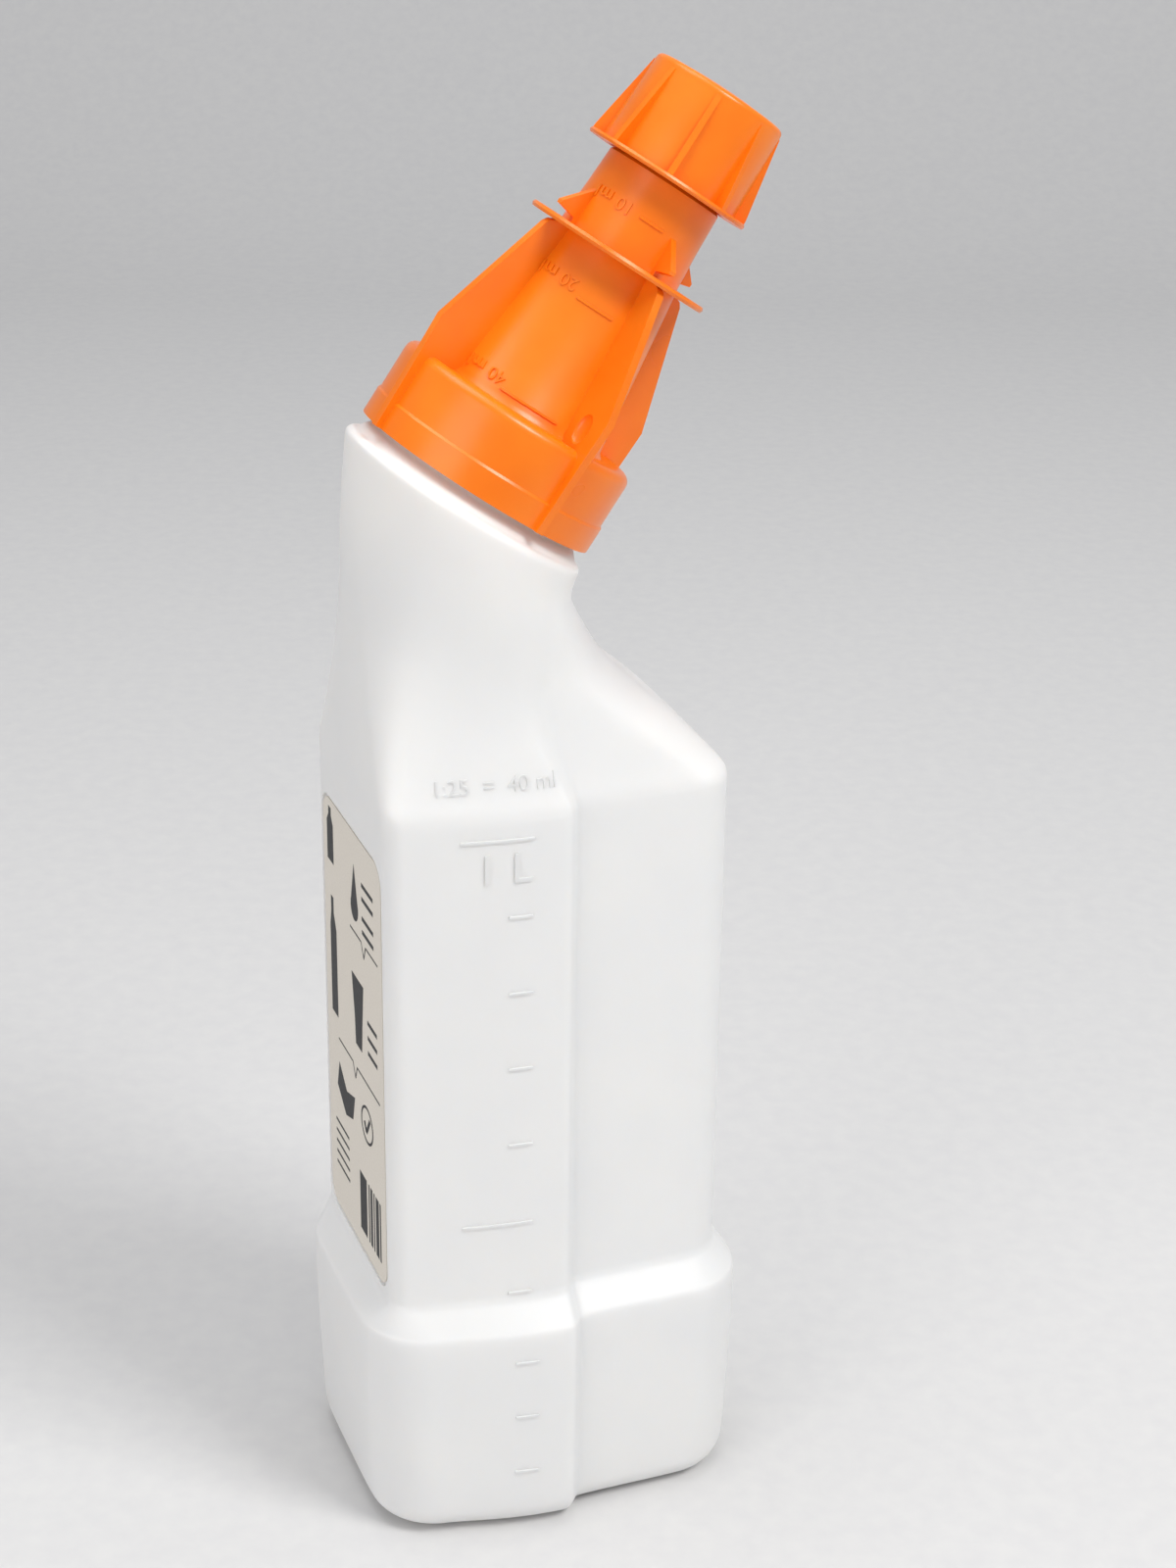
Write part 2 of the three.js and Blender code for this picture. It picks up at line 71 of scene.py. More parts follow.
# The bottle's ticks of 100 ml: their heights, and where they lie across the face
TICK_HEIGHTS = (17.8, 33.7, 49.2, 65.4, 84.5, 105.7, 125.8, 145.2, 164.5, 183.6)
SHORT_TICK_X, SHORT_TICK_WIDTH, LONG_TICK_X, LONG_TICK_WIDTH, TICK_THICKNESS = -12.2, 6, -17.5, 17, 0.9
# The spout's marks: words, their place across and along the neck's axis, and the tick's height and two ends
SPOUT_MARKS = (
    ("10 ml", -6.9, 67.3, 67.0, -0.6, 5.6),
    ("20 ml", -8.3, 47.6, 45.6, -2.8, 6.5),
    ("40 ml", -10.6, 22.7, 20.8, -6.3, 8.4),
)
SPOUT_WORDS_HEIGHT, SPOUT_TICK_THICKNESS = 2.9, 0.8
SHARP_MARK, SHARP_MOULDING = radians(30), radians(32)

NECK_AXIS = Vector((sin(LEAN), 0, cos(LEAN)))
AZIMUTH, ELEVATION, ROLL = radians(-20.640), radians(24.158), radians(0.759)
BACK = Vector((sin(AZIMUTH) * cos(ELEVATION), -cos(AZIMUTH) * cos(ELEVATION), sin(ELEVATION)))


# Camera, stage and light
def make_camera():
    right = Vector((cos(AZIMUTH), sin(AZIMUTH), 0))
    up = BACK.cross(right)
    turned_right = right * cos(ROLL) + up * sin(ROLL)
    turned_up = up * cos(ROLL) - right * sin(ROLL)
    data = bpy.data.cameras.new("camera")
    data.lens, data.sensor_width, data.sensor_fit = 69.39, 36, "AUTO"
    data.clip_start, data.clip_end = 0.01, 20
    camera = bpy.data.objects.new("camera", data)
    turn = Matrix((turned_right, turned_up, BACK)).transposed().to_4x4()
    camera.matrix_world = Matrix.Translation((-0.21122, -0.60240, 0.46759)) @ turn
    scene.collection.objects.link(camera)
    scene.camera = camera


def area_light(name, place, target, size, power, tint):
    data = bpy.data.lights.new(name, "AREA")
    data.shape, data.size, data.size_y = "RECTANGLE", size[0], size[1]
    data.energy = power
    data.color = tint
    lamp = bpy.data.objects.new(name, data)
    lamp.location = place
    lamp.rotation_euler = (Vector(target) - Vector(place)).to_track_quat("-Z", "Y").to_euler()
    scene.collection.objects.link(lamp)


def linear(code):
    """An sRGB hex colour as linear RGBA."""
    parts = [int(code[i:i + 2], 16) / 255 for i in (0, 2, 4)]
    return tuple(c / 12.92 if c <= 0.04045 else ((c + 0.055) / 1.055) ** 2.4 for c in parts) + (1.0,)


def across(size_mm):
    """The texture scale whose features are about size_mm across, as Object coordinates are in metres."""
    return 1000 / size_mm


def node(tree, kind, settings=None, links=None):
    """Adds a shader node with settings by socket or attribute, a ramp's stops, and links into its sockets."""
    made = tree.nodes.new(kind)
    for key, value in (settings or {}).items():
        if key == "stops":
            for stop, (place, code) in zip(made.color_ramp.elements, value):
                stop.position, stop.color = place, linear(code)
        elif key in made.inputs:
            made.inputs[key].default_value = value
        else:
            setattr(made, key, value)
    for key, source in (links or {}).items():
        tree.links.new(source, made.inputs[key])
    return made


def new_material(name):
    """An empty material with its node tree and its Object coordinates."""
    made = bpy.data.materials.new(name)
    made.use_nodes = True
    tree = made.node_tree
    tree.nodes.clear()
    return made, tree, node(tree, "ShaderNodeTexCoord").outputs["Object"]


def milky_polyethylene():
    # Blow-moulded HDPE: milky, a little light goes through it, cloudy wall thickness, fine orange-peel skin
    made, tree, here = new_material("milky_polyethylene")
    cloud = node(tree, "ShaderNodeTexNoise", {"Scale": across(34), "Detail": 2.0}, {"Vector": here})
    skin = node(tree, "ShaderNodeTexNoise", {"Scale": across(1.6), "Detail": 2.0}, {"Vector": here})
    smears = node(tree, "ShaderNodeTexNoise", {"Scale": across(11), "Detail": 4.0}, {"Vector": here})
    peel = node(tree, "ShaderNodeBump", {"Strength": 0.10, "Distance": 0.00008},
                {"Height": skin.outputs["Fac"]})
    wave = node(tree, "ShaderNodeBump", {"Strength": 0.25, "Distance": 0.0005},
                {"Height": cloud.outputs["Fac"], "Normal": peel.outputs["Normal"]})
    colour = node(tree, "ShaderNodeValToRGB", {"stops": ((0.3, "eeedec"), (0.7, "f3f1ee"))},
                  {"Fac": cloud.outputs["Fac"]})
    rough = node(tree, "ShaderNodeMapRange", {"To Min": 0.36, "To Max": 0.52},
                 {"Value": smears.outputs["Fac"]})
    shader = node(tree, "ShaderNodeBsdfPrincipled", {
        "Subsurface Weight": 0.45, "Subsurface Radius": (1.0, 0.86, 0.74), "Subsurface Scale": 0.004,
        "IOR": 1.53, "Specular IOR Level": 0.42,
    }, {
        "Base Color": colour.outputs["Color"],
        "Roughness": rough.outputs["Result"],
        "Normal": wave.outputs["Normal"],
    })
    node(tree, "ShaderNodeOutputMaterial", {}, {"Surface": shader.outputs["BSDF"]})
    return made


def orange_polypropylene():
    # Injection-moulded PP: strong orange, satin with slight flow clouding and tiny scuffs
    made, tree, here = new_material("orange_polypropylene")
    flow = node(tree, "ShaderNodeTexNoise", {"Scale": across(16), "Detail": 2.0}, {"Vector": here})
    scuff = node(tree, "ShaderNodeTexNoise", {"Scale": across(0.7), "Detail": 5.0}, {"Vector": here})
    bump = node(tree, "ShaderNodeBump", {"Strength": 0.12, "Distance": 0.00006},
                {"Height": scuff.outputs["Fac"]})
    colour = node(tree, "ShaderNodeValToRGB", {"stops": ((0.3, "f27608"), (0.7, "f88112"))},
                  {"Fac": flow.outputs["Fac"]})
    rough = node(tree, "ShaderNodeMapRange", {"To Min": 0.24, "To Max": 0.36}, {"Value": flow.outputs["Fac"]})
    shader = node(tree, "ShaderNodeBsdfPrincipled", {
        "Subsurface Weight": 0.12, "Subsurface Radius": (1.0, 0.35, 0.08), "Subsurface Scale": 0.0015,
        "IOR": 1.5, "Specular IOR Level": 0.45,
    }, {
        "Base Color": colour.outputs["Color"],
        "Roughness": rough.outputs["Result"],
        "Normal": bump.outputs["Normal"],
    })
    node(tree, "ShaderNodeOutputMaterial", {}, {"Surface": shader.outputs["BSDF"]})
    return made


def coated_paper():
    # Label paper: matt, with a faint fibre grain; its pale colour is painted darker and warmer, as painted
    # shade and warm bounced light on the label's side
    made, tree, here = new_material("coated_label_paper")
    fibre = node(tree, "ShaderNodeTexNoise", {"Scale": across(0.5), "Detail": 6.0}, {"Vector": here})
    bump = node(tree, "ShaderNodeBump", {"Strength": 0.15, "Distance": 0.00003},
                {"Height": fibre.outputs["Fac"]})
    # Both creams hold the paper's own pale colour plus painted shade and painted warm bounce light; only the
    # fibre grain varies them
    colour = node(tree, "ShaderNodeValToRGB", {"stops": ((0.3, "ddd6cb"), (0.7, "e5dfd5"))},
                  {"Fac": fibre.outputs["Fac"]})
    rough = node(tree, "ShaderNodeMapRange", {"To Min": 0.5, "To Max": 0.66}, {"Value": fibre.outputs["Fac"]})
    shader = node(tree, "ShaderNodeBsdfPrincipled", {"Specular IOR Level": 0.3}, {
        "Base Color": colour.outputs["Color"],
        "Roughness": rough.outputs["Result"],
        "Normal": bump.outputs["Normal"],
    })
    node(tree, "ShaderNodeOutputMaterial", {}, {"Surface": shader.outputs["BSDF"]})
    return made


def printing_ink():
    # Black ink: slightly uneven cover over the paper grain
    made, tree, here = new_material("black_printing_ink")
    cover = node(tree, "ShaderNodeTexNoise", {"Scale": across(0.8), "Detail": 4.0}, {"Vector": here})
    colour = node(tree, "ShaderNodeValToRGB", {"stops": ((0.3, "17171a"), (0.7, "232327"))},
                  {"Fac": cover.outputs["Fac"]})
    rough = node(tree, "ShaderNodeMapRange", {"To Min": 0.42, "To Max": 0.6}, {"Value": cover.outputs["Fac"]})
    shader = node(tree, "ShaderNodeBsdfPrincipled", {"Specular IOR Level": 0.35}, {
        "Base Color": colour.outputs["Color"],
        "Roughness": rough.outputs["Result"],
    })
    node(tree, "ShaderNodeOutputMaterial", {}, {"Surface": shader.outputs["BSDF"]})
    return made


def seal_foam():
    # Expanded polyethylene seal: off-white with small closed cells
    made, tree, here = new_material("expanded_polyethylene_foam")
    cells = node(tree, "ShaderNodeTexVoronoi", {"Scale": across(0.6)}, {"Vector": here})
    bump = node(tree, "ShaderNodeBump", {"Strength": 0.4, "Distance": 0.0001},
                {"Height": cells.outputs["Distance"]})
    colour = node(tree, "ShaderNodeValToRGB", {"stops": ((0.3, "d8d4cb"), (0.7, "e4e1da"))},
                  {"Fac": cells.outputs["Distance"]})
    shader = node(tree, "ShaderNodeBsdfPrincipled", {"Roughness": 0.75}, {
        "Base Color": colour.outputs["Color"],
        "Normal": bump.outputs["Normal"],
    })
    node(tree, "ShaderNodeOutputMaterial", {}, {"Surface": shader.outputs["BSDF"]})
    return made


def studio_paper():
    # Seamless background paper: pale grey and matt, with a barely seen mottle
    made, tree, here = new_material("studio_paper")
    grain = node(tree, "ShaderNodeTexNoise", {"Scale": across(6), "Detail": 3.0}, {"Vector": here})
    colour = node(tree, "ShaderNodeValToRGB", {"stops": ((0.3, "d2d2d3"), (0.7, "d6d6d6"))},
                  {"Fac": grain.outputs["Fac"]})
    shader = node(tree, "ShaderNodeBsdfPrincipled", {"Roughness": 0.85, "Specular IOR Level": 0.2},
                  {"Base Color": colour.outputs["Color"]})
    node(tree, "ShaderNodeOutputMaterial", {}, {"Surface": shader.outputs["BSDF"]})
    return made


def parts_of(made, kind):
    """The vertices, edges or faces among what an operator gives back."""
    return [part for part in made if isinstance(part, kind)]


def mesh_of(bm, name):
    """A bmesh as a mesh."""
    mesh = bpy.data.meshes.new(name)
    bm.to_mesh(mesh)
    bm.free()
    return mesh


def linked(mesh, name):
    """A mesh as an object of the scene."""
    made = bpy.data.objects.new(name, mesh)
    scene.collection.objects.link(made)
    return made


def make_stage():
    # A floor that curves up into a backdrop: its front edge drawn back, round and up, in metres
    half_width, front, back, bend, wall = 2.6, -1.6, 1.1, 0.5, 2.5
    bm = bmesh.new()
    edge = bm.edges.new([bm.verts.new((x, front, 0)) for x in (-half_width, half_width)])

    def drawn(start, move):
        made = bmesh.ops.extrude_edge_only(bm, edges=[start])["geom"]
        bmesh.ops.translate(bm, verts=parts_of(made, bmesh.types.BMVert), vec=move)
        return parts_of(made, bmesh.types.BMEdge)[0]

    far = drawn(edge, (0, back - front, 0))
    curve = bmesh.ops.spin(bm, geom=[far, *far.verts], cent=(0, back, bend), axis=(1, 0, 0),
                           angle=pi / 2, steps=12)["geom_last"]
    drawn(parts_of(curve, bmesh.types.BMEdge)[0], (0, 0, wall))
    for face in bm.faces:
        face.smooth = True
    sweep = linked(mesh_of(bm, "studio_sweep"), "studio_sweep")
    sweep.rotation_euler = (0, 0, AZIMUTH)
    sweep.data.materials.append(studio_paper())


def light_the_stage():
    world = bpy.data.worlds.new("studio")
    world.use_nodes = True
    world.node_tree.nodes["Background"].inputs["Color"].default_value = linear("f2f3f6")
    world.node_tree.nodes["Background"].inputs["Strength"].default_value = 0.45
    scene.world = world
    area_light("key", (0.55, -0.75, 1.25), (0, 0, 0.17), (0.5, 0.5), 12.2, (1.0, 0.99, 0.97))
    area_light("top", (-0.1, 0.1, 1.5), (0, 0, 0.1), (0.9, 0.9), 8.4, (1.0, 1.0, 1.0))
    area_light("fill", (-1.1, -0.7, 0.7), (0, 0, 0.18), (0.8, 0.9), 5.4, (1.0, 0.96, 0.92))


# The bottle's skin
def proud_at(x, corner_x):
    """How far the swollen part of a broad side stands out at x; it ends at the step."""
    start = STEP_X - STEP_WIDTH / 2
    if x <= corner_x or x > start + STEP_WIDTH:
        return 0.0
    if x < start:
        return BULGE * sin(pi / 2 * (x - corner_x) / (start - corner_x))
    return BULGE * (1 + cos(pi * (x - start) / STEP_WIDTH)) / 2


def section(half_width, half_depth, left_corner, right_corner, roundness=0.0, share=0.0):
    """A section of the body as [x, y] pairs, with the points of the CAD's section."""
    left_x, right_x = -half_width + left_corner, half_width - right_corner
    start = STEP_X - STEP_WIDTH / 2
    flat_steps = SIDE_STEPS - STEP_EDGE_STEPS - 1
    places = [left_x + (start - left_x) * i / flat_steps for i in range(flat_steps)]
    places += [start + STEP_WIDTH * i / STEP_EDGE_STEPS for i in range(STEP_EDGE_STEPS + 1)]
    places.append(right_x)
    points = []

    def corner(x, y, radius, first):
        for i in range(CORNER_STEPS):
            angle = radians(first + 90 * i / CORNER_STEPS)
            points.append((x + radius * cos(angle), y + radius * sin(angle)))

    def side(sign):
        ordered = places if sign < 0 else places[::-1]
        for x in ordered[:SIDE_STEPS]:
            points.append((x, sign * (half_depth + share * proud_at(x, left_x))))

    def end(x, low, high):
        for i in range(END_STEPS):
            points.append((x, low + (high - low) * i / END_STEPS))

    corner(right_x, half_depth - right_corner, right_corner, 0)
    side(1)
    corner(left_x, half_depth - left_corner, left_corner, 90)
    end(-half_width, half_depth - left_corner, left_corner - half_depth)
    corner(left_x, left_corner - half_depth, left_corner, 180)
    side(-1)
    corner(right_x, right_corner - half_depth, right_corner, 270)
    end(half_width, right_corner - half_depth, half_depth - right_corner)
    first = END_STEPS / 2 * 2 * pi / TURN_STEPS
    result = []
    for i, (x, y) in enumerate(points):
        angle = first + 2 * pi * i / TURN_STEPS
        result.append((x + (half_width * cos(angle) - x) * roundness,
                       y + (half_depth * sin(angle) - y) * roundness))
    return result


def placed(outline, x0, z0, tilt):
    """An outline as points about x0, z0, with its plane tilted towards +X."""
    return [Vector((x0 + x * cos(tilt), y, z0 - x * sin(tilt))) for x, y in outline]


def level(z, half_width, half_depth, left_corner, right_corner, inset):
    """A level section of the bottle, drawn in by the inset."""
    outline = section(half_width - inset, half_depth - inset, max(left_corner - inset, 1),
                      max(right_corner - inset, 1), 0.0, 1.0)
    return placed(outline, 0, z, 0)


def foot_rings(inset):
    rings = []
    for i in range(ROUNDING_STEPS + 1):
        angle = pi / 2 * i / ROUNDING_STEPS
        pulled = BASE_ROUNDING * (1 - sin(angle))
        z = inset + (BASE_ROUNDING - inset / 2) * (1 - cos(angle))
        rings.append(level(z, BASE_HALF_WIDTH, BASE_HALF_DEPTH, FOOT_CORNER, FOOT_CORNER, inset + pulled))
    for i in range(1, FOOT_STEPS + 1):
        z = BASE_ROUNDING + (FOOT_TOP - BASE_ROUNDING) * i / FOOT_STEPS
        swell = 1 - (1 - i / FOOT_STEPS) ** FOOT_SWELL
        half_width = BASE_HALF_WIDTH + (FOOT_HALF_WIDTH - BASE_HALF_WIDTH) * swell
        half_depth = BASE_HALF_DEPTH + (FOOT_HALF_DEPTH - BASE_HALF_DEPTH) * swell
        rings.append(level(z, half_width, half_depth, FOOT_CORNER, FOOT_CORNER, inset))
    return rings


def body_rings(inset):
    top = FOOT_TOP + LEDGE

    def body(z, extra=0.0):
        return level(z, BODY_HALF_WIDTH + extra, BODY_HALF_DEPTH + extra,
                     LABEL_SIDE_CORNER + extra, FAR_SIDE_CORNER + extra, inset)

    lower = level(FOOT_TOP + 1, FOOT_HALF_WIDTH - 0.5, FOOT_HALF_DEPTH - 0.5,
                  FOOT_CORNER, FOOT_CORNER, inset)
    upper = body(top - 1, 0.5)
    # Rings close to each end of the ledge keep its edges crisp
    rings = [lower, between(lower, upper, LEDGE_CREASE), between(lower, upper, 1 - LEDGE_CREASE), upper]
    rings += [body(top + 0.4), body(top + 1.4)]
    rings += [body(top + (SHOULDER_Z - top) * i / BODY_STEPS) for i in range(1, BODY_STEPS)]
    return rings + [body(SHOULDER_Z - 1.5), body(SHOULDER_Z)]


def between(low, high, share):
    return [a.lerp(b, share) for a, b in zip(low, high)]


def neck_ring(along, radius):
    """A circle about the neck's axis."""
    centre = NECK_FOOT + NECK_AXIS * along
    outline = section(radius, radius, radius / 2, radius / 2, 1.0, 0.0)
    return placed(outline, centre.x, centre.z, LEAN)


def shoulder_rings(inset):
    """Sections that turn from the body's outline into the collar's circle."""
    centre = NECK_FOOT + NECK_AXIS * COLLAR_ALONG
    lx, lz = centre.x - COLLAR_RADIUS * cos(LEAN), centre.z + COLLAR_RADIUS * sin(LEAN)
    rx, rz = centre.x + COLLAR_RADIUS * cos(LEAN), centre.z - COLLAR_RADIUS * sin(LEAN)
    w, d, h = BODY_HALF_WIDTH, BODY_HALF_DEPTH, SHOULDER_Z
    # Left end, right end, half depth, how round the section is, and the share of the swell that is left
    stations = [
        ((-w, h + 3), (w - 0.8, h + 2.2), d - 0.3, 0, 0.96),
        ((-w, h + 7), (w - 4.6, h + 6.4), d - 1, 0.06, 0.86),
        ((-w + 0.2, h + 13), (w - 11.4, h + 13.4), d - 1.8, 0.16, 0.7),
        ((-w + 0.4, h + 21), (w - 18.6, h + 20), d - 2.3, 0.32, 0.48),
        ((-w + 0.7, h + 31), (w - 24.6, h + 26), d - 2.4, 0.52, 0.26),
        ((-w + 0.9, h + 43), (rx + 4.4, rz - 16.6), d - 1.9, 0.74, 0.1),
        ((lx - 1.5, lz - 20), (rx + 0.6, rz - 9.6), d - 0.8, 0.92, 0.02),
        ((lx - 0.9, lz - 8), (rx - 1.3, rz - 4.8), d + 0.3, 1, 0),
    ]
    rings = []
    for left, right, depth, roundness, share in stations:
        across = (right[0] - left[0], right[1] - left[1])
        outline = section(hypot(*across) / 2 - inset, depth - inset, LABEL_SIDE_CORNER + 4 * roundness,
                          FAR_SIDE_CORNER + 4 * roundness, roundness, share)
        rings.append(placed(outline, (left[0] + right[0]) / 2, (left[1] + right[1]) / 2,
                            atan2(-across[1], across[0])))
    return rings


def smoothed(rings, extra=2):
    """The same rings with more between them, on a smooth curve through each row of points."""
    result = []
    for i in range(len(rings) - 1):
        before, after = rings[max(i - 1, 0)], rings[min(i + 2, len(rings) - 1)]
        result.append(rings[i])
        for k in range(1, extra + 1):
            t = k / (extra + 1)
            ring = []
            for a, b, c, e in zip(before, rings[i], rings[i + 1], after):
                ring.append(((b * 2) + (c - a) * t + (a * 2 - b * 5 + c * 4 - e) * t * t
                             + (b * 3 - a - c * 3 + e) * t ** 3) / 2)
            result.append(ring)
    return result + [rings[-1]]


def bottle_rings():
    """All sections, from the base up the outside, over the mouth and down the inside."""
    collar = []
    for i in range(COLLAR_STEPS + 1):
        angle = pi / 2 * i / COLLAR_STEPS
        collar.append(neck_ring(COLLAR_ALONG + COLLAR_EDGE * sin(angle),
                                COLLAR_RADIUS - COLLAR_EDGE * (1 - cos(angle))))
    bore = NECK_RADIUS - NECK_WALL
    body = body_rings(0)
    outer = foot_rings(0) + body[:-1] + smoothed([body[-1]] + shoulder_rings(0) + collar[:1])
    outer += collar[1:]
    outer += [neck_ring(COLLAR_TOP, COLLAR_TOP_RADIUS), neck_ring(COLLAR_TOP + 0.4, NECK_RADIUS),
              neck_ring(MOUTH_ALONG - 0.5, NECK_RADIUS), neck_ring(MOUTH_ALONG, NECK_RADIUS - 0.4)]
    inner = foot_rings(WALL) + body_rings(WALL) + shoulder_rings(WALL)[:-1]
    inner += [neck_ring(COLLAR_ALONG - 3, bore + 1), neck_ring(COLLAR_ALONG, bore),
              neck_ring(MOUTH_ALONG - 0.5, bore), neck_ring(MOUTH_ALONG, bore + 0.4)]
    return outer + inner[::-1]


def skin_rings(bm, rings):
    """A closed skin through rings of equal counts: one face, extruded and laid on each next ring."""
    first = face = bm.faces.new([bm.verts.new(point * MM) for point in rings[0]])
    for ring in rings[1:]:
        made = bmesh.ops.extrude_face_region(bm, geom=[face])["geom"]
        if face is not first:
            bmesh.ops.delete(bm, geom=[face], context="FACES_ONLY")
        face = parts_of(made, bmesh.types.BMFace)[0]
        for corner, point in zip(face.loops, ring):
            corner.vert.co = point * MM
    bmesh.ops.recalc_face_normals(bm, faces=bm.faces)


def raised(bm, points, move):
    """A face over the points, extruded by a move: gives the vertices of its top."""
    face = bm.faces.new([bm.verts.new(point) for point in points])
    top = parts_of(bmesh.ops.extrude_face_region(bm, geom=[face])["geom"], bmesh.types.BMVert)
    bmesh.ops.translate(bm, verts=top, vec=move)
    return top


def thread_rings():
    """Sections of the neck's thread, which grows and fades at its ends."""
    steps = round(THREAD_TURNS * THREAD_STEPS)
    root = NECK_RADIUS - THREAD_ROOT
    rings = []
    for i in range(steps + 1):
        angle = 2 * pi * i / THREAD_STEPS
        crest = NECK_RADIUS + THREAD_HEIGHT * min(1.0, (min(i, steps - i) + 1) / (THREAD_FADE_STEPS + 1))
        middle = THREAD_START + THREAD_LEAD * i / THREAD_STEPS
        ring = []
        for r, up in ((root, -THREAD_THICKNESS / 2), (crest, -THREAD_THICKNESS / 4),
                      (crest, THREAD_THICKNESS / 4), (root, THREAD_THICKNESS / 2)):
            local = Vector((r * cos(angle), r * sin(angle), middle + up))
            ring.append(NECK_FOOT + Matrix.Rotation(LEAN, 3, "Y") @ local)
        rings.append(ring)
    return rings[::-1]


# Pieces
def keep(bm, name, material, body, angle):
    """Turns a bmesh into a piece that rides on a body."""
    smooth_by_angle(bm, angle)
    piece = linked(mesh_of(bm, name), name)
    piece.data.materials.append(material)
    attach(piece, body)
    return piece


def smooth_by_angle(bm, angle):
    """Smooth faces with sharp edges where the surface turns by more than the angle."""
    for face in bm.faces:
        face.smooth = True
    for edge in bm.edges:
        edge.smooth = len(edge.link_faces) == 2 and edge.calc_face_angle(0) < angle


def rounded_plate(bm, margin, low, high):
    """A plate over the label's outline, margin wider all round, from low to high outwards."""
    middle = on_label(0, (LABEL_TOP + LABEL_BOTTOM) / 2, (low + high) / 2)
    size = Vector((high - low, 2 * (LABEL_HALF_WIDTH + margin), LABEL_TOP - LABEL_BOTTOM + 2 * margin)) * MM
    place = Matrix.Translation(middle) @ Matrix.Diagonal((*size, 1))
    bmesh.ops.create_cube(bm, size=1, matrix=place)
    corners = [e for e in bm.edges if abs(e.verts[0].co.x - e.verts[1].co.x) > size.x / 2]
    bmesh.ops.bevel(bm, geom=corners, offset=(LABEL_CORNER + margin) * MM, segments=8, profile=0.5,
                    affect="EDGES", material=-1)


def on_label(u, v, w):
    """u to the right and v up on the label, as seen from outside, w outwards, in mm."""
    return Vector((LABEL_FACE_X - w, -u, v)) * MM


def make_bottle(material):
    """The bottle's skin with its edges eased, the label's recess cut and the neck's thread added."""
    skin = bmesh.new()
    skin_rings(skin, bottle_rings())
    blank = linked(mesh_of(skin, "bottle_blank"), "bottle_blank")
    fine = blank.modifiers.new("fine", "SUBSURF")
    fine.levels = fine.render_levels = 2
    plate = bmesh.new()
    rounded_plate(plate, RECESS_MARGIN, LABEL_FACE_X - RECESS_FLOOR_X, 3.0)
    cutter = linked(mesh_of(plate, "recess_cutter"), "recess_cutter")
    cut = blank.modifiers.new("recess", "BOOLEAN")
    cut.operation, cut.solver, cut.object = "DIFFERENCE", "EXACT", cutter
    graph = bpy.context.evaluated_depsgraph_get()
    made = bmesh.new()
    made.from_mesh(blank.evaluated_get(graph).to_mesh())
    for old in (blank, cutter):
        bpy.data.objects.remove(old)
    thread = bmesh.new()
    skin_rings(thread, thread_rings())
    made.from_mesh(mesh_of(thread, "neck_thread"))
    bottle = keep(made, "bottle_skin", material, "bottle", SHARP_MOULDING)
    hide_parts("bottle")
    return bottle


def make_copy(node_name, name, material, body):
    """A merged copy of a CAD node with its edges slightly rounded, as moulded plastic has."""
    bm = bmesh.new()
    bm.from_mesh(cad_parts[node_name].data)
    same_place, flat = 2e-6, radians(0.6)
    bmesh.ops.remove_doubles(bm, verts=bm.verts, dist=same_place)
    bmesh.ops.dissolve_degenerate(bm, dist=same_place, edges=bm.edges)
    bmesh.ops.dissolve_limit(bm, angle_limit=flat, verts=bm.verts, edges=bm.edges)
    piece = keep(bm, name, material, body, SHARP_MOULDING)
    soft = piece.modifiers.new("rounded_edges", "BEVEL")
    soft.width, soft.segments = EDGE_ROUNDING * MM, 2
    soft.limit_method, soft.angle_limit = "ANGLE", SHARP_MOULDING
    soft.profile, soft.harden_normals = 0.5, True
    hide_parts(node_name)
    return piece


def pressed_on(bm, tree, place, toward, height, depth=0.25):
    """Lays flat shapes onto a surface: vertices with z above 0 stand proud of it, the others sit in it."""
    longest_edge, start_distance = 0.9, 0.09
    bmesh.ops.triangulate(bm, faces=bm.faces)
    for _ in range(2):
        long = [e for e in bm.edges if (e.verts[0].co.xy - e.verts[1].co.xy).length > longest_edge]
        bmesh.ops.subdivide_edges(bm, edges=long, cuts=2)
        bmesh.ops.triangulate(bm, faces=bm.faces)
    for vert in bm.verts:
        start = place(vert.co.x, vert.co.y) + toward * start_distance
        hit, normal, _, _ = tree.ray_cast(start, -toward)
        if hit is None:
            raise ValueError("a mark lies off its surface")
        vert.co = hit + normal * (height * MM if vert.co.z > 0 else -depth * MM)
    bmesh.ops.recalc_face_normals(bm, faces=bm.faces)


def flat_bar(bm, x0, y0, width, height, soft):
    """A bar with round ends lying on the drawing plane, narrower on top by its softness."""
    half, end_steps, side_steps = height / 2, 6, 6
    outline = []
    for sign in (1, -1):
        for k in range(end_steps + 1):
            angle = -pi / 2 + pi * k / end_steps
            x = width / 2 - half + half * cos(angle)
            outline.append((x0 + sign * x, y0 + sign * half * sin(angle)))
        for k in range(1, side_steps):
            x = width / 2 - half - (width - height) * k / side_steps
            outline.append((x0 + sign * x, y0 + sign * half))
    top = raised(bm, [(x, y, -1) for x, y in outline], (0, 0, 2))
    bmesh.ops.scale(bm, verts=top, vec=(1 - soft * height / width, 1 - soft, 1),
                    space=Matrix.Translation((-x0, -y0, 0)))


